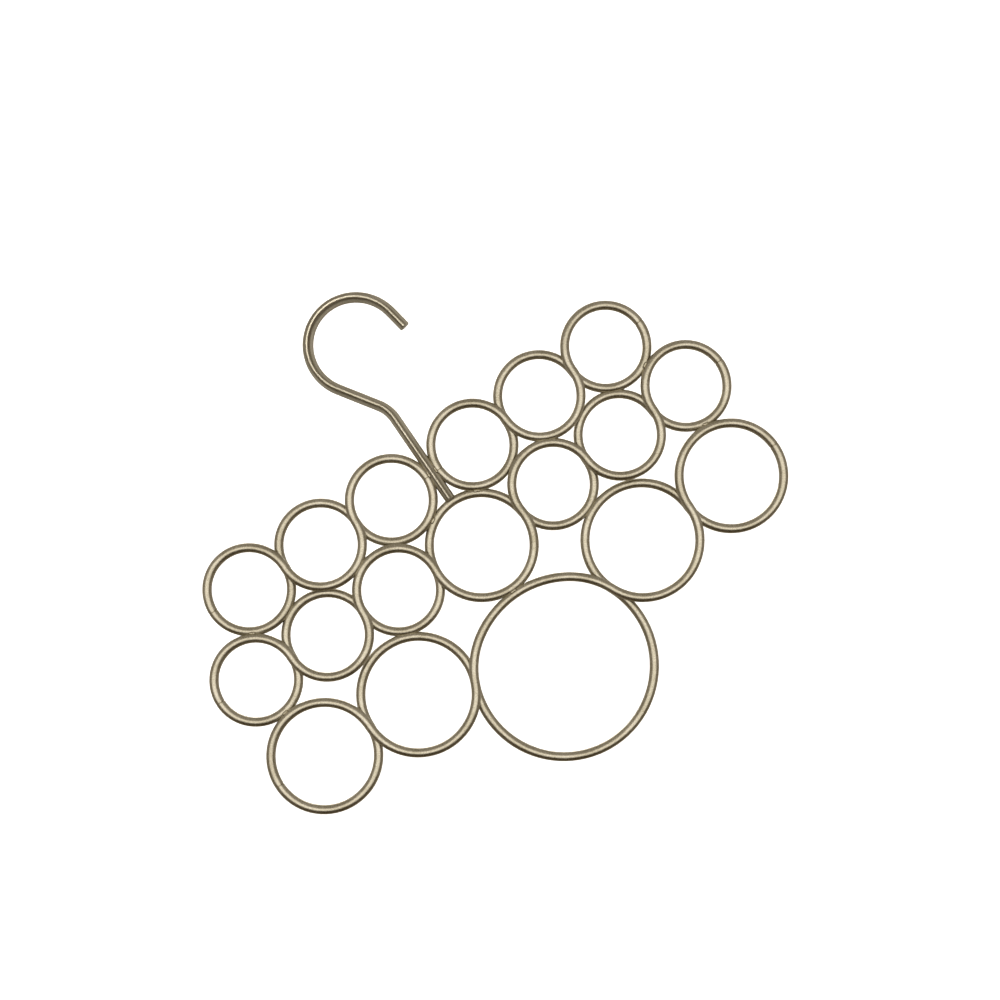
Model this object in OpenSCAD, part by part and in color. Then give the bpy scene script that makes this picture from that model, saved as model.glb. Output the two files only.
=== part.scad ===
// Scarf hanger of welded steel wire: three rows of rings under a swan-neck hook.
// Each chain of rings is two serpentine wires, one in front and one behind. The wires cross where
// two rings meet, so that a wire is the top of one ring and the bottom of the next. Both ends of
// the two wires are butted together at the far side of the chain's end rings.
// The rings' layout is worked out from their sizes: each ring rests against its neighbours.
// The origin is the hook's seat on the rail. X runs along the rows, Y to the back and Z up.

/* [Wire] */
// Diameter of the wire that the rings are bent from
ring_wire_d = 5.5; // [4.6:0.1:6.4]
// Diameter of the wire that the hook is bent from
hook_wire_d = 6.4; // [5.4:0.1:7.2]
// How far two wires are pressed into each other where they are welded
weld_set = 1.7; // [1.3:0.1:2.1]
// Bevel round each butted wire end
butt_bevel = 0.3; // [0.1:0.1:0.6]

/* [Rings] */
// Inside diameter of the small rings of the top and middle rows
small_ring_id = 43.2; // [40:0.1:48]
// Inside diameter of the middle row's centre ring, under the hook
centre_ring_id = 55.7; // [50:0.1:60]
// Inside diameter of the bottom row's two end rings
outer_drop_id = 56.7; // [52:0.1:62]
// Inside diameter of the bottom row's second and fourth rings
inner_drop_id = 61.7; // [58:0.1:66]
// Inside diameter of the large ring at the bottom
large_ring_id = 100.5; // [90:0.1:106]
// How far the large ring is flattened at its top, where it hangs from the centre ring
large_ring_flat = 1.9; // [0.5:0.1:4]

/* [Hook] */
// Height of the seat on the rail above the foot of the shank
hook_h = 130.1; // [115:0.1:160]
// Inside diameter of the hook's round bend
hook_id = 49.6; // [40:0.1:60]
// How far the shank stands to the left of the seat
shank_shift = 5.4; // [0:0.2:10]
// Lean of the neck from the upright
neck_lean = 34; // [28:1:42]
// Bend radius where the shank turns into the neck, on the wire's centreline
neck_bend_r = 20; // [12:1:30]
// Angle above level at which the round bend ends and the straight tip starts
tip_start = 10; // [-10:1:30]
// Length of the straight tip
tip_l = 12.4; // [4:0.1:18]
// Rounding of the tip's and the foot's edges
hook_edge_r = 0.8; // [0.3:0.1:1.5]

/* [Weld beads] */
// Thickness of a weld bead
bead_d = 1.8; // [1.4:0.1:2]
// Length of a weld bead between the centres of its round ends
bead_l = 2.4; // [0.4:0.1:4]
// How far a weld bead stands out in front of its wires
bead_rise = 0.3; // [0.2:0.1:0.6]

/* [Hidden] */
$fn = 96;
FRONT = -1;
BACK = 1;
BRONZE = "#a89a7e";
BEAD = "#cfc4a8";

// Ring radii, all on the wire's centreline
ring_wire_r = ring_wire_d / 2;
hook_wire_r = hook_wire_d / 2;
small_r = small_ring_id / 2 + ring_wire_r;
centre_r = centre_ring_id / 2 + ring_wire_r;
outer_drop_r = outer_drop_id / 2 + ring_wire_r;
inner_drop_r = inner_drop_id / 2 + ring_wire_r;
large_r = large_ring_id / 2 + ring_wire_r;
hook_r = hook_id / 2 + hook_wire_r;

// Where two bends of a wire meet, the wire is straight and a hair thicker for a short way. The
// bends end inside this joint.
joint_l = 0.8;
joint_rise = 0.02;
function joint_trim(r) = joint_l / 4 / r * 180 / PI;

// Distance between the centrelines of two ring wires, and of a ring wire and the shank, once welded
wire_pitch = ring_wire_d - weld_set;
shank_pitch = ring_wire_r + hook_wire_r - weld_set;

// Points in the plane of the rings are [x, z]
function unit(angle) = [cos(angle), sin(angle)];
function heading(p, q) = atan2(q.y - p.y, q.x - p.x);
// Point at distance p_r from p and q_r from q, to the left of the way from p to q
function meet(p, p_r, q, q_r) =
    let (d = norm(q - p), along = (d * d + p_r * p_r - q_r * q_r) / (2 * d), u = (q - p) / d)
    p + along * u + sqrt(p_r * p_r - along * along) * [-u.y, u.x];

// The shank stands on top of the centre ring, and the first small ring leans on both
foot_z = -hook_h;
centre_at = [-shank_shift, foot_z + weld_set / 2 - ring_wire_r - centre_r];
first_x = small_r + shank_pitch;
first_at = centre_at + [first_x, sqrt((small_r + centre_r + wire_pitch) ^ 2 - first_x ^ 2)];

// Small rings of the right side in zigzag: even steps are in the top row, odd ones in the middle
// row. In its own row a ring's centreline touches the last one's, and it rests on the other row.
function zigzag(step) =
    step == 0 ? first_at
    : step == 1 ? meet(first_at, 2 * small_r + wire_pitch, centre_at, centre_r + small_r)
    : step % 2 == 0 ? meet(zigzag(step - 2), 2 * small_r, zigzag(step - 1), 2 * small_r + wire_pitch)
    : meet(zigzag(step - 1), 2 * small_r + wire_pitch, zigzag(step - 2), 2 * small_r);

// The bottom row hangs from the middle row
large_at = centre_at - [0, centre_r + large_r - large_ring_flat + wire_pitch];
inner_drop_at = meet(zigzag(1), small_r + inner_drop_r + wire_pitch, large_at, large_r + inner_drop_r);
outer_drop_at = meet(zigzag(5), small_r + outer_drop_r + wire_pitch, inner_drop_at,
                     inner_drop_r + outer_drop_r);

// A ring is [centre, radius, flattening of its top]. The left side is the right side mirrored about
// the shank.
function mirrored(ring) = [[2 * centre_at.x - ring[0].x, ring[0].y], ring[1], ring[2]];
function left_of(rings) = [for (k = [len(rings) - 1:-1:0]) mirrored(rings[k])];

top_right = [for (step = [0:2:4]) [zigzag(step), small_r, 0]];
middle_right = [for (step = [1:2:5]) [zigzag(step), small_r, 0]];
bottom_right = [[inner_drop_at, inner_drop_r, 0], [outer_drop_at, outer_drop_r, 0]];
top_left = left_of(top_right);
middle = concat(left_of(middle_right), [[centre_at, centre_r, 0]], middle_right);
bottom = concat(left_of(bottom_right), [[large_at, large_r, large_ring_flat]], bottom_right);

// The front wire is the top of the first, third, fifth and seventh ring of its chain
function is_top(k, side) = (k % 2 == 0) == (side == FRONT);
function side_of(k, top) = (k % 2 == 0) == top ? FRONT : BACK;
function is_end(chain, k) = k == 0 || k == len(chain) - 1;
function next_to(chain, k) = k == 0 ? 1 : k - 1;

// Where the wires of a chain cross, both lie this far from the middle plane
plane_y = wire_pitch / 2;
// Tilt that brings the two wires of an end ring together at its far side
function end_tilt(r) = asin(plane_y / (2 * r));
// How far behind the middle plane the wire lies at an angle round a ring
function wire_y(chain, k, angle, side) =
    is_end(chain, k)
    ? side * plane_y * (1 + cos(angle - heading(chain[k][0], chain[next_to(chain, k)][0]))) / 2
    : side * plane_y;

// A weld is [point, heading, lean, reach]: the point on the pressed face, the face normal's heading
// in the plane of the rings, its lean to the back, and how far the pressed flat runs each way
flat_margin = 1.15;
function reach(depth, r1, r2) = flat_margin * sqrt(2 * depth * r1 * r2 / (r1 + r2));

// Weld between the bottom of ring i of one chain and the top of ring k of the chain below
function contact(upper, i, lower, k) =
    let (
        h = heading(upper[i][0], lower[k][0]),
        a = upper[i][0] + upper[i][1] * unit(h),
        b = lower[k][0] - (lower[k][1] - lower[k][2]) * unit(h),
        a_y = wire_y(upper, i, h, side_of(i, false)),
        b_y = wire_y(lower, k, h + 180, side_of(k, true))
    )
    [
        [(a.x + b.x) / 2, (a_y + b_y) / 2, (a.y + b.y) / 2],
        h,
        atan2(b_y - a_y, norm(b - a)),
        reach(weld_set, upper[i][1] + ring_wire_r, lower[k][1] + ring_wire_r)
    ];

// Weld between the shank and the ring at its left (h = 0) or right (h = 180), with no flat
shank_face = (shank_pitch ^ 2 + ring_wire_r ^ 2 - hook_wire_r ^ 2) / (2 * shank_pitch);
function shank_weld(ring, h) =
    let (at = ring[0] + (ring[1] + shank_face) * unit(h))
    [[at.x, 0, at.y], h, 0, 0];

// Pairs of rings that touch: [ring of the upper chain, ring of the lower chain]
TOP_LEFT_ON_MIDDLE = [[0, 0], [0, 1], [1, 1], [1, 2], [2, 2], [2, 3]];
TOP_RIGHT_ON_MIDDLE = [[0, 3], [0, 4], [1, 4], [1, 5], [2, 5], [2, 6]];
MIDDLE_ON_BOTTOM = [[0, 0], [2, 1], [3, 2], [4, 3], [6, 4]];

// Takes what it draws to a weld, with the face normal along X and the seam along Z
module at_weld(weld) {
    translate(weld[0])
        rotate([0, -weld[1], 0])
            rotate([0, 0, weld[2]])
                children();
}

// Cuts the flat that a weld presses on the wire before its face (1) or beyond it (-1)
module pressed_flat(weld, way) {
    at_weld(weld)
        rotate([0, 0, way > 0 ? 0 : 180])
            translate([0, ring_wire_d, 0])
                rotate([90, 0, 0])
                    linear_extrude(2 * ring_wire_d)
                        polygon([
                            [0, -weld[3]],
                            [0, weld[3]],
                            [weld_set, weld[3] + weld_set],
                            [weld_set, -weld[3] - weld_set]
                        ]);
}

// Arc of wire in the plane of the rings, round the origin, anticlockwise from one angle to another
module wire_arc(r, wire_d, from, to) {
    rotate([90, 0, 0])
        rotate([0, 0, from])
            rotate_extrude(angle = to - from)
                translate([r, 0])
                    circle(d = wire_d);
}

// Joint between two bends, at a point and along an angle in the plane of the rings
module bend_joint(at, angle, wire_d, l = joint_l) {
    along(at, angle)
        cylinder(h = l, d = wire_d + 2 * joint_rise, center = true);
}

// Takes what it draws along Z to a point, along an angle in the plane of the rings
module along(at, angle) {
    translate([at.x, 0, at.y])
        rotate([0, 90 - angle, 0])
            children();
}

// Half of an end ring. It hinges on the wire's line at the crossing, so that it leaves the crossing
// straight and ends in the middle plane at the ring's far side.
module on_end_ring(chain, k, side) {
    ring = chain[k];
    translate([ring[0].x, side * plane_y, ring[0].y])
        rotate([0, -heading(ring[0], chain[next_to(chain, k)][0]), 0])
            translate([ring[1], 0, 0])
                rotate([0, 0, side * end_tilt(ring[1])])
                    translate([-ring[1], 0, 0])
                        children();
}

// A bend is [centre, radius, start, end]. A ring's half is one bend, or three where its top is
// flattened: two tighter shoulders from the crossings at angle a to angle b, and a wider middle.
function bends(chain, k, top) =
    let (
        ring = chain[k],
        ahead = heading(ring[0], chain[k + 1][0]),
        behind = (heading(ring[0], chain[k - 1][0]) + 360) % 360
    )
    !top ? [[ring[0], ring[1], behind, ahead + 360]]
    : ring[2] == 0 ? [[ring[0], ring[1], ahead, behind]]
    : flattened(ring, ahead);
function flattened(ring, a) =
    let (
        b = (a + 90) / 2,
        shift = ring[2] / (1 - sin(a) + cos(a) * (tan(b) - 1 / cos(b))),
        shoulder_r = ring[1] - shift,
        middle_r = shoulder_r + shift * cos(a) / cos(b)
    )
    [
        [ring[0] + shift * unit(a), shoulder_r, a, b],
        [ring[0] + [0, ring[1] - ring[2] - middle_r], middle_r, b, 180 - b],
        [ring[0] + shift * unit(180 - a), shoulder_r, 180 - b, 180 - a]
    ];

// The bends of a chain's front or back wire that belong to ring k. Half an end ring can be cut
// short, to sweep less than half a turn.
module ring_half(chain, k, side, end_sweep = 180) {
    if (is_end(chain, k)) {
        r = chain[k][1];
        starts_here = is_top(k, side) == (k == 0);
        on_end_ring(chain, k, side)
            wire_arc(r, ring_wire_d, starts_here ? joint_trim(r) : -end_sweep,
                     starts_here ? end_sweep : -joint_trim(r));
    } else
        translate([0, side * plane_y, 0]) {
            parts = bends(chain, k, is_top(k, side));
            for (bend = parts)
                translate([bend[0].x, 0, bend[0].y])
                    wire_arc(bend[1], ring_wire_d, bend[2] + joint_trim(bend[1]),
                             bend[3] - joint_trim(bend[1]));
            for (i = [1:1:len(parts) - 1])
                bend_joint(parts[i][0] + parts[i][1] * unit(parts[i][2]), parts[i][2] + 90, ring_wire_d);
        }
}

// Joint of a chain's wire at the crossing between ring k and the next
module crossing_joint(chain, k, side, l = joint_l) {
    h = heading(chain[k][0], chain[k + 1][0]);
    translate([0, side * plane_y, 0])
        bend_joint(chain[k][0] + chain[k][1] * unit(h), h + 90, ring_wire_d, l);
}

// Bevels the butted end of a wire at the far side of an end ring
module bevel_cut(chain, k, side) {
    on_end_ring(chain, k, side)
        translate([-chain[k][1], 0, 0])
            rotate([is_top(k, side) == (k == 0) ? 0 : 180, 0, 0])
                rotate_extrude()
                    polygon([
                        [ring_wire_r - butt_bevel - 1, -1],
                        [ring_wire_r + 1, -1],
                        [ring_wire_r + 1, butt_bevel + 1]
                    ]);
}

// One serpentine wire of a chain. At each crossing the front wire is pressed into the back wire.
// Its children are the flats of its other welds.
module chain_wire(chain, side) {
    last = len(chain) - 1;
    difference() {
        union() {
            for (k = [0:last])
                ring_half(chain, k, side);
            for (k = [0:last - 1])
                crossing_joint(chain, k, side);
        }
        if (side == BACK) {
            for (k = [0:last])
                ring_half(chain, k, FRONT, 90);
            for (k = [0:last - 1])
                crossing_joint(chain, k, FRONT, 1.25 * joint_l);
        }
        bevel_cut(chain, 0, side);
        bevel_cut(chain, last, side);
        children();
    }
}

// Flats on one wire of a chain where it carries the chain below, or rests under the one above
module flats_below(upper, lower, pairs, side) {
    for (pair = pairs)
        if (side_of(pair[0], false) == side)
            pressed_flat(contact(upper, pair[0], lower, pair[1]), 1);
}

module flats_above(upper, lower, pairs, side) {
    for (pair = pairs)
        if (side_of(pair[1], true) == side)
            pressed_flat(contact(upper, pair[0], lower, pair[1]), -1);
}

module top_left_wire(side) {
    chain_wire(top_left, side)
        flats_below(top_left, middle, TOP_LEFT_ON_MIDDLE, side);
}

module top_right_wire(side) {
    chain_wire(top_right, side)
        flats_below(top_right, middle, TOP_RIGHT_ON_MIDDLE, side);
}

module middle_wire(side) {
    chain_wire(middle, side) {
        flats_above(top_left, middle, TOP_LEFT_ON_MIDDLE, side);
        flats_above(top_right, middle, TOP_RIGHT_ON_MIDDLE, side);
        flats_below(middle, bottom, MIDDLE_ON_BOTTOM, side);
        if (side == side_of(3, true))
            shank();
    }
}

module bottom_wire(side) {
    chain_wire(bottom, side)
        flats_above(middle, bottom, MIDDLE_ON_BOTTOM, side);
}

// Ends and bends of the hook's centreline
hook_at = [0, -hook_id / 2];
neck_top = hook_at + hook_r * unit(180 + neck_lean);
neck_l = (-shank_shift - neck_bend_r * (1 - cos(neck_lean)) - neck_top.x) / sin(neck_lean);
neck_foot = neck_top - neck_l * unit(90 + neck_lean);
neck_bend_at = neck_foot - neck_bend_r * unit(neck_lean);
tip_at = hook_at + hook_r * unit(tip_start);
shank_top = [-shank_shift, neck_bend_at.y];

// Rod with its far edge rounded
module rounded_rod(length) {
    rotate_extrude() {
        square([hook_wire_r, length - hook_edge_r]);
        square([hook_wire_r - hook_edge_r, length]);
        translate([hook_wire_r - hook_edge_r, length - hook_edge_r])
            circle(r = hook_edge_r);
    }
}

module shank() {
    along(shank_top, -90)
        rounded_rod(shank_top.y - foot_z);
}

module hook_wire() {
    neck_trim = joint_trim(neck_bend_r);
    hook_trim = joint_trim(hook_r);
    shank();
    translate([neck_bend_at.x, 0, neck_bend_at.y])
        wire_arc(neck_bend_r, hook_wire_d, neck_trim, neck_lean - neck_trim);
    along(neck_foot, 90 + neck_lean)
        cylinder(h = neck_l, r = hook_wire_r);
    translate([hook_at.x, 0, hook_at.y])
        wire_arc(hook_r, hook_wire_d, tip_start + hook_trim, 180 + neck_lean - hook_trim);
    along(tip_at, tip_start - 90)
        rounded_rod(tip_l);
    bend_joint(shank_top, 90, hook_wire_d);
    bend_joint(neck_foot, 90 + neck_lean, hook_wire_d);
    bend_joint(neck_top, 90 + neck_lean, hook_wire_d);
    bend_joint(tip_at, tip_start - 90, hook_wire_d);
}

// Bead of weld metal along the front groove of a weld
module bead(weld) {
    at_weld(weld)
        translate([0, bead_d / 2 - ring_wire_r - bead_rise, -bead_l / 2])
            rotate([0, 0, -90]) {
                cylinder(h = bead_l, d = bead_d);
                sphere(d = bead_d);
                translate([0, 0, bead_l])
                    sphere(d = bead_d);
            }
}

// Facets of the curves that seat a bead on its wires, fine because the bead is small
seat_fn = 288;

// Whole turn of the wire that a bead on ring k sits on
module bead_seat(chain, k, side) {
    if (is_end(chain, k))
        on_end_ring(chain, k, side)
            wire_arc(chain[k][1], ring_wire_d, 0, 360, $fn = seat_fn);
    else {
        parts = bends(chain, k, is_top(k, side));
        bend = parts[floor(len(parts) / 2)];
        translate([bend[0].x, side * plane_y, bend[0].y])
            wire_arc(bend[1], ring_wire_d, 0, 360, $fn = seat_fn);
    }
}

// Bead between ring i of a chain and ring k of the chain below
module ring_bead(upper, i, lower, k) {
    difference() {
        bead(contact(upper, i, lower, k));
        bead_seat(upper, i, side_of(i, false));
        bead_seat(lower, k, side_of(k, true));
    }
}

// Bead between the shank and the end ring beside it, over the butt of the ring's two halves
module shank_bead(chain, k, h) {
    difference() {
        bead(shank_weld(chain[k], h));
        bead_seat(chain, k, FRONT);
        shank($fn = seat_fn);
    }
}

// The two butted ends of the end ring beside the shank, with a joint over the butt. They sweep far
// enough round the ring to take in all that is pressed into the shank.
butted_sweep = 45;
module butted_ends(chain, k) {
    for (side = [FRONT, BACK])
        on_end_ring(chain, k, side)
            rotate([is_top(k, side) == (k == 0) ? 0 : 180, 0, 0])
                wire_arc(chain[k][1], ring_wire_d, 180 - butted_sweep, 180);
    on_end_ring(chain, k, FRONT)
        bend_joint([-chain[k][1], 0], 90, ring_wire_d);
}

// The rings beside the shank are pressed into it
module hook() {
    color(BRONZE)
        difference() {
            hook_wire();
            butted_ends(top_left, 2);
            butted_ends(top_right, 0);
        }
}

module top_left_front_wire() { color(BRONZE) top_left_wire(FRONT); }
module top_left_back_wire() { color(BRONZE) top_left_wire(BACK); }
module top_right_front_wire() { color(BRONZE) top_right_wire(FRONT); }
module top_right_back_wire() { color(BRONZE) top_right_wire(BACK); }
module middle_front_wire() { color(BRONZE) middle_wire(FRONT); }
module middle_back_wire() { color(BRONZE) middle_wire(BACK); }
module bottom_front_wire() { color(BRONZE) bottom_wire(FRONT); }
module bottom_back_wire() { color(BRONZE) bottom_wire(BACK); }
module weld_hook_to_top_3() { color(BEAD) shank_bead(top_left, 2, 0); }
module weld_hook_to_top_4() { color(BEAD) shank_bead(top_right, 0, 180); }
module weld_top_1_to_middle_1() { color(BEAD) ring_bead(top_left, 0, middle, 0); }
module weld_top_3_to_middle_4() { color(BEAD) ring_bead(top_left, 2, middle, 3); }
module weld_top_4_to_middle_4() { color(BEAD) ring_bead(top_right, 0, middle, 3); }
module weld_top_6_to_middle_7() { color(BEAD) ring_bead(top_right, 2, middle, 6); }
module weld_middle_1_to_bottom_1() { color(BEAD) ring_bead(middle, 0, bottom, 0); }
module weld_middle_4_to_bottom_3() { color(BEAD) ring_bead(middle, 3, bottom, 2); }
module weld_middle_7_to_bottom_5() { color(BEAD) ring_bead(middle, 6, bottom, 4); }

hook();
top_left_front_wire();
top_left_back_wire();
top_right_front_wire();
top_right_back_wire();
middle_front_wire();
middle_back_wire();
bottom_front_wire();
bottom_back_wire();
weld_hook_to_top_3();
weld_hook_to_top_4();
weld_top_1_to_middle_1();
weld_top_3_to_middle_4();
weld_top_4_to_middle_4();
weld_top_6_to_middle_7();
weld_middle_1_to_bottom_1();
weld_middle_4_to_bottom_3();
weld_middle_7_to_bottom_5();
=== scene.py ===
# A scarf hanger of bent and welded wire, shown as it hangs, seen square on with the camera rolled.
import math

import bpy
from mathutils import Matrix, Vector

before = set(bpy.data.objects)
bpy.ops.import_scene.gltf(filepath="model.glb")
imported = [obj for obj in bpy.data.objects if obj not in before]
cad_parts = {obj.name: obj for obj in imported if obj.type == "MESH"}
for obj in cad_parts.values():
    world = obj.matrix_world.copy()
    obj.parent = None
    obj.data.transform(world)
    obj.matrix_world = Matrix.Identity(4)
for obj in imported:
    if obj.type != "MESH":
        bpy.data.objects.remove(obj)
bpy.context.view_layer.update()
print("stage: frame loaded,", len(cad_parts), "nodes")

mm = 0.001


def hexToLinear(hexCode):
    # sRGB hex, as shown on screen, to the linear values that the shaders take
    values = [int(hexCode[i:i + 2], 16) / 255 for i in (1, 3, 5)]
    return tuple(v / 12.92 if v <= 0.04045 else ((v + 0.055) / 1.055) ** 2.4 for v in values) + (1.0,)


def addNode(tree, kind, settings, links=None):
    # One node with its settings (properties or inputs, by name or number) and the sockets that feed it
    node = tree.nodes.new(kind)
    for key, value in settings.items():
        if isinstance(key, int) or key in node.inputs:
            node.inputs[key].default_value = value
        else:
            setattr(node, key, value)
    for key, source in (links or {}).items():
        tree.links.new(source, node.inputs[key])
    return node


# ---- wire: mild steel, drawn and bent, then electroplated with a satin champagne nickel
# The eye sees a soft cream streak along each bend, a khaki body and dark brown inner edges, with a
# fine pearly speckle where the plating follows the grain of the steel.
platedWire = {
    "lowTone": "#99917c",
    "midTone": "#b7b09d",
    "highTone": "#d3cdc0",
    "speckle": 0.55,           # mm, plating grain; the real one is finer, drawn coarse to show
    "cloud": 14.0,             # mm, slow change of tone along the wire
    "roughness": (0.26, 0.42),
    "anisotropic": 0.0,
    "bumpHeight": 0.010,       # mm
}
# The hook is a thicker rod with the same plating, buffed round its girth: the streak of light stays
# narrow across it and runs on along every bend.
polishedRod = {
    "lowTone": "#a29b88",
    "midTone": "#b7b09e",
    "highTone": "#cac3b4",
    "speckle": 0.55,           # mm, drawn coarse like the wire's
    "cloud": 20.0,             # mm
    "roughness": (0.355, 0.46),
    "anisotropic": 0.97,
    "bumpHeight": 0.003,       # mm
}
# What both finishes share
plating = {
    "grainDetail": 3.0,
    "grainRoughness": 0.6,
    "grainSpan": (0.3, 0.7),   # the part of the grain noise that the roughness follows
    "cloudDetail": 2.0,
    "cloudShare": 0.25,        # how much of the tone comes from the slow change
    "toneStops": (0.36, 0.5, 0.66),
    "bumpStrength": 0.6,
}
# ---- weld bead: filler metal melted into the groove, plated with the rest
# The eye sees a small uneven drop, a little duller than the wire, with the ripples it froze in.
weldMetal = {
    "lowTone": "#8f866f",
    "highTone": "#cdc5b0",
    "toneStops": (0.35, 0.65),
    "ripple": 0.8,             # mm, frozen ripples of the bead
    "rippleDetail": 2.0,
    "roughness": (0.26, 0.46),
    "bumpStrength": 0.8,
    "bumpHeight": 0.05,        # mm
}


def newMaterial(name):
    material = bpy.data.materials.new(name)
    material.use_nodes = True
    material.node_tree.nodes.clear()
    return material, material.node_tree


def setRamp(node, stops):
    # Colour stops as (position, sRGB hex), from low to high
    stops = list(stops)
    ramp = node.color_ramp
    while len(ramp.elements) < len(stops):
        ramp.elements.new(0.5)
    for element, (position, hexCode) in zip(ramp.elements, stops):
        element.position = position
        element.color = hexToLinear(hexCode)


def makeNickelPlatedSteel(name, settings):
    material, tree = newMaterial(name)
    place = addNode(tree, "ShaderNodeTexCoord", {}).outputs["Object"]
    grain = addNode(tree, "ShaderNodeTexNoise",
                    {"Scale": 1 / (settings["speckle"] * mm), "Detail": plating["grainDetail"],
                     "Roughness": plating["grainRoughness"]}, {"Vector": place})
    cloud = addNode(tree, "ShaderNodeTexNoise",
                    {"Scale": 1 / (settings["cloud"] * mm), "Detail": plating["cloudDetail"]},
                    {"Vector": place})
    slow = addNode(tree, "ShaderNodeMath", {"operation": "MULTIPLY", 1: plating["cloudShare"]},
                   {0: cloud.outputs["Fac"]})
    mixed = addNode(tree, "ShaderNodeMath", {"operation": "MULTIPLY_ADD", 1: 1 - plating["cloudShare"]},
                    {0: grain.outputs["Fac"], 2: slow.outputs[0]})
    tone = addNode(tree, "ShaderNodeValToRGB", {}, {0: mixed.outputs[0]})
    setRamp(tone, zip(plating["toneStops"], (settings["lowTone"], settings["midTone"], settings["highTone"])))
    rough = addNode(tree, "ShaderNodeMapRange",
                    {"From Min": plating["grainSpan"][0], "From Max": plating["grainSpan"][1],
                     "To Min": settings["roughness"][0], "To Max": settings["roughness"][1]},
                    {"Value": grain.outputs["Fac"]})
    bump = addNode(tree, "ShaderNodeBump",
                   {"Strength": plating["bumpStrength"], "Distance": settings["bumpHeight"] * mm},
                   {"Height": grain.outputs["Fac"]})
    # the wires lie in upright planes, so their run is square to the surface normal and to Y
    shape = addNode(tree, "ShaderNodeNewGeometry", {})
    run = addNode(tree, "ShaderNodeVectorMath", {"operation": "CROSS_PRODUCT", 1: (0.0, 1.0, 0.0)},
                  {0: shape.outputs["Normal"]})
    along = addNode(tree, "ShaderNodeVectorMath", {"operation": "NORMALIZE"}, {0: run.outputs["Vector"]})
    metal = addNode(tree, "ShaderNodeBsdfPrincipled",
                    {"Metallic": 1.0, "Anisotropic": settings["anisotropic"]},
                    {"Base Color": tone.outputs["Color"], "Roughness": rough.outputs["Result"],
                     "Normal": bump.outputs["Normal"], "Tangent": along.outputs["Vector"]})
    addNode(tree, "ShaderNodeOutputMaterial", {}, {"Surface": metal.outputs["BSDF"]})
    return material


def makeWeldBead(settings):
    material, tree = newMaterial("platedSteelWeldBead")
    place = addNode(tree, "ShaderNodeTexCoord", {}).outputs["Object"]
    ripple = addNode(tree, "ShaderNodeTexNoise",
                     {"Scale": 1 / (settings["ripple"] * mm), "Detail": settings["rippleDetail"]},
                     {"Vector": place})
    tone = addNode(tree, "ShaderNodeValToRGB", {}, {0: ripple.outputs["Fac"]})
    setRamp(tone, zip(settings["toneStops"], (settings["lowTone"], settings["highTone"])))
    rough = addNode(tree, "ShaderNodeMapRange",
                    {"To Min": settings["roughness"][0], "To Max": settings["roughness"][1]},
                    {"Value": ripple.outputs["Fac"]})
    bump = addNode(tree, "ShaderNodeBump",
                   {"Strength": settings["bumpStrength"], "Distance": settings["bumpHeight"] * mm},
                   {"Height": ripple.outputs["Fac"]})
    metal = addNode(tree, "ShaderNodeBsdfPrincipled", {"Metallic": 1.0},
                    {"Base Color": tone.outputs["Color"], "Roughness": rough.outputs["Result"],
                     "Normal": bump.outputs["Normal"]})
    addNode(tree, "ShaderNodeOutputMaterial", {}, {"Surface": metal.outputs["BSDF"]})
    return material


wireMaterial = makeNickelPlatedSteel("champagneNickelPlatedSteelWire", platedWire)
hookMaterial = makeNickelPlatedSteel("champagneNickelPolishedSteelRod", polishedRod)
weldMaterial = makeWeldBead(weldMetal)
for name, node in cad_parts.items():
    node.data.materials.clear()
    node.data.materials.append(hookMaterial if name == "hook"
                               else weldMaterial if name.startswith("weld") else wireMaterial)
print("stage: materials assigned")

# ---- camera: square on, a little to the side, rolled as in the photograph
cameraSetup = {
    "lookAt": (18.28 * mm, 0.0, -146.96 * mm),   # what the middle of the picture shows
    "distance": 0.9,                             # m
    "pictureWidth": 1000,                        # pixels of the photograph
    "pixelsPerMetre": 1710.61,                   # in that picture, at the hanger
    "yaw": 2.53,                                 # degrees, like pitch and roll
    "pitch": 0.11,
    "roll": -34.39,
    "sensorWidth": 36.0,                         # mm
    "clip": (0.05, 50.0),                        # m
}


def placeCamera(setup):
    yaw, pitch, roll = (math.radians(setup[k]) for k in ("yaw", "pitch", "roll"))
    forward = Vector((math.sin(yaw) * math.cos(pitch), math.cos(yaw) * math.cos(pitch), math.sin(pitch)))
    level = Vector((math.cos(yaw), -math.sin(yaw), 0))
    over = level.cross(forward)
    right = math.cos(roll) * level + math.sin(roll) * over
    up = math.cos(roll) * over - math.sin(roll) * level
    data = bpy.data.cameras.new("photoCamera")
    data.sensor_width = setup["sensorWidth"]
    data.lens = setup["pixelsPerMetre"] * setup["distance"] / setup["pictureWidth"] * data.sensor_width
    data.clip_start, data.clip_end = setup["clip"]
    camera = bpy.data.objects.new("photoCamera", data)
    stand = Matrix.Translation(Vector(setup["lookAt"]) - forward * setup["distance"])
    camera.matrix_world = stand @ Matrix((right, up, -forward)).transposed().to_4x4()
    bpy.context.scene.collection.objects.link(camera)
    bpy.context.scene.camera = camera
    return forward, right, up


forward, right, up = placeCamera(cameraSetup)
print("stage: camera placed")

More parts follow.
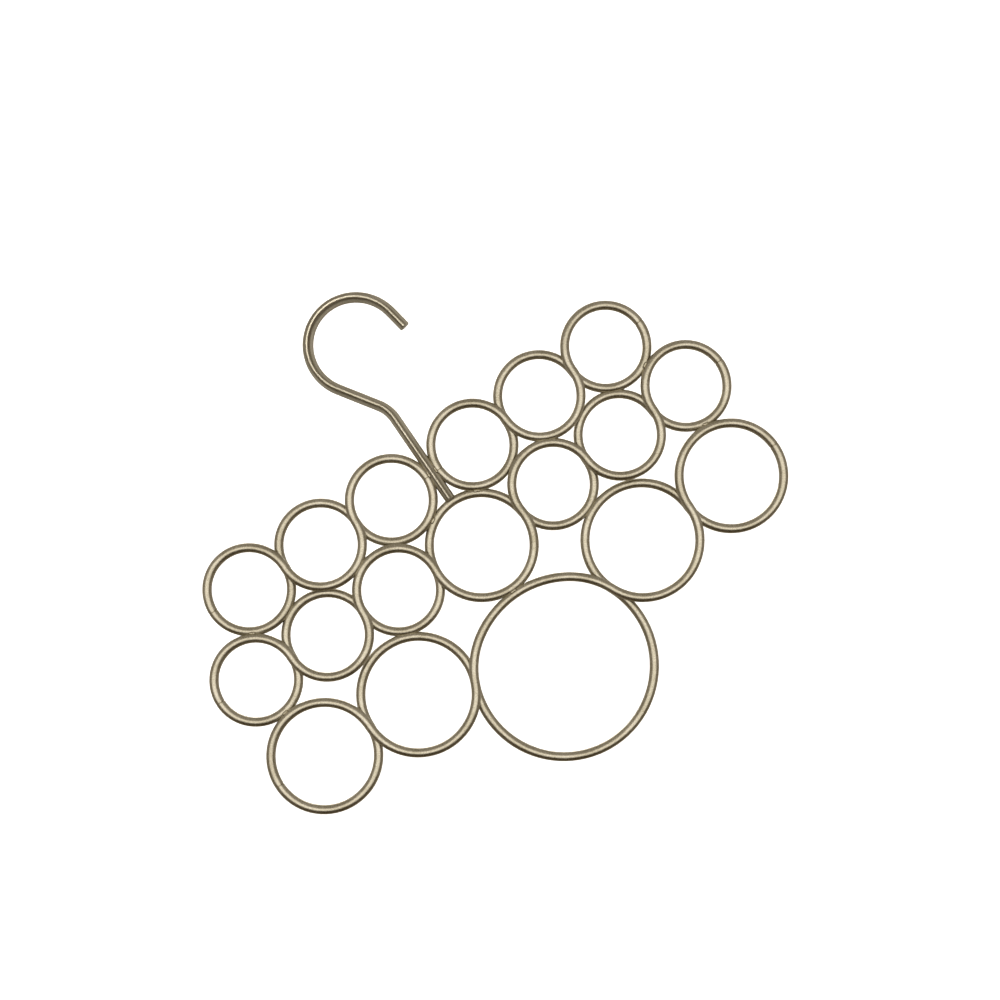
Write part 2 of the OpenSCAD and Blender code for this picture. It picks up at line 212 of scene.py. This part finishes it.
# ---- studio: white sweep far below and behind the hanger, and soft lights in the camera's own directions
studio = {
    "floorZ": -0.95,                  # m, like the next five
    "frontY": -6.0,
    "wallY": 2.6,
    "wallTop": 5.0,
    "halfWidth": 6.0,
    "bend": 0.9,
    "bendSteps": 24,
    "white": "#f7f6f3",
    "paperRoughness": 0.9,
    "glow": "#ffffff",                # keeps the paper white in the picture without a shadow
    "glowStrength": 0.75,
    "background": "#ffffff",          # beyond the paper
    "darkSide": (0.0, -0.75, 0.65),   # right, up, towards the camera: where the room is darkest
    # what the metal sees where no light is, from the bright side of the room to the dark one
    "room": [(0.0, "#b4ada2"), (0.5, "#aba397"), (0.75, "#837965"), (0.9, "#5a4c37"), (1.0, "#423420")],
}
softLights = {
    # name: (right, up, towards the camera, width and height in m, watts, sRGB colour, what it lights)
    "frontSoftbox": (0.0, -0.05, 2.2, 4.2, 1.9, 40.5, "#fffdf8", "rings"),
    "hookLight": (-0.92, 0.74, 1.60, 0.9, 0.9, 22.0, "#fffdf8", "hook"),
    "hookFill": (1.3, -1.3, 0.2, 2.2, 2.2, 9.0, "#fffdf8", "hook"),
    "hookFillLeft": (-1.3, -1.3, 0.1, 2.0, 2.0, 6.2, "#fdfdfa", "hook"),
    "hookFillRight": (1.6, 0.8, 0.1, 2.0, 2.0, 6.2, "#fdfdfa", "hook"),
    "backSoftbox": (-0.3, 0.7, -1.9, 1.5, 0.9, 16.0, "#fffdf8", "all"),
}


def buildSweep(setup):
    profile = [(setup["frontY"], setup["floorZ"])]
    for i in range(setup["bendSteps"] + 1):
        turn = math.pi / 2 * i / setup["bendSteps"]
        profile.append((setup["wallY"] - setup["bend"] + setup["bend"] * math.sin(turn),
                        setup["floorZ"] + setup["bend"] * (1 - math.cos(turn))))
    profile.append((setup["wallY"], setup["wallTop"]))
    verts = [(x, y, z) for y, z in profile for x in (-setup["halfWidth"], setup["halfWidth"])]
    faces = [(2 * i, 2 * i + 1, 2 * i + 3, 2 * i + 2) for i in range(len(profile) - 1)]
    mesh = bpy.data.meshes.new("paperSweep")
    mesh.from_pydata(verts, [], faces)
    for face in mesh.polygons:
        face.use_smooth = True
    sweep = bpy.data.objects.new("paperSweepFloor", mesh)
    bpy.context.scene.collection.objects.link(sweep)
    material, tree = newMaterial("mattWhiteBackgroundPaper")
    paper = addNode(tree, "ShaderNodeBsdfPrincipled",
                    {"Base Color": hexToLinear(setup["white"]), "Roughness": setup["paperRoughness"],
                     "Emission Color": hexToLinear(setup["glow"]), "Emission Strength": setup["glowStrength"]})
    addNode(tree, "ShaderNodeOutputMaterial", {}, {"Surface": paper.outputs["BSDF"]})
    mesh.materials.append(material)
    sweep.visible_glossy = False   # the metal sees the room's tones instead


def hangLights(lights, lookAt):
    # the hook and the rings have their own lights, so that each shows the streak of its own finish
    lit = {"hook": bpy.data.collections.new("litAsHook"), "rings": bpy.data.collections.new("litAsRings")}
    for name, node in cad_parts.items():
        lit["hook" if name == "hook" else "rings"].objects.link(node)
    for name, (toRight, toUp, toCamera, width, height, watts, tint, target) in lights.items():
        data = bpy.data.lights.new(name, "AREA")
        data.shape = "RECTANGLE"
        data.size, data.size_y = width, height
        data.energy = watts
        data.color = hexToLinear(tint)[:3]
        light = bpy.data.objects.new(name, data)
        spot = Vector(lookAt) + right * toRight + up * toUp - forward * toCamera
        away = (spot - Vector(lookAt)).normalized()
        side = up.cross(away).normalized()
        turned = Matrix((side, away.cross(side), away)).transposed().to_4x4()
        light.matrix_world = Matrix.Translation(spot) @ turned
        bpy.context.scene.collection.objects.link(light)
        if target in lit:
            light.light_linking.receiver_collection = lit[target]


def lightWorld(setup):
    world = bpy.data.worlds.new("studioWorld")
    world.use_nodes = True
    tree = world.node_tree
    tree.nodes.clear()
    seen = addNode(tree, "ShaderNodeBackground", {"Color": hexToLinear(setup["background"]), "Strength": 1.0})
    toRight, toUp, toCamera = setup["darkSide"]
    darkSide = (right * toRight + up * toUp - forward * toCamera).normalized()
    direction = addNode(tree, "ShaderNodeTexCoord", {}).outputs["Generated"]
    near = addNode(tree, "ShaderNodeVectorMath", {"operation": "DOT_PRODUCT", 1: tuple(darkSide)},
                   {0: direction})
    level = addNode(tree, "ShaderNodeMapRange", {"From Min": -1.0, "From Max": 1.0},
                    {"Value": near.outputs["Value"]})
    room = addNode(tree, "ShaderNodeValToRGB", {}, {0: level.outputs["Result"]})
    setRamp(room, setup["room"])
    fill = addNode(tree, "ShaderNodeBackground", {"Strength": 1.0}, {"Color": room.outputs["Color"]})
    path = addNode(tree, "ShaderNodeLightPath", {})   # the camera sees plain white, the metal the room
    both = addNode(tree, "ShaderNodeMixShader", {},
                   {0: path.outputs["Is Camera Ray"], 1: fill.outputs[0], 2: seen.outputs[0]})
    addNode(tree, "ShaderNodeOutputWorld", {}, {"Surface": both.outputs[0]})
    bpy.context.scene.world = world


buildSweep(studio)
hangLights(softLights, cameraSetup["lookAt"])
lightWorld(studio)
bpy.context.scene.view_settings.view_transform = "Standard"
bpy.context.scene.view_settings.look = "None"
print("stage: studio lit")
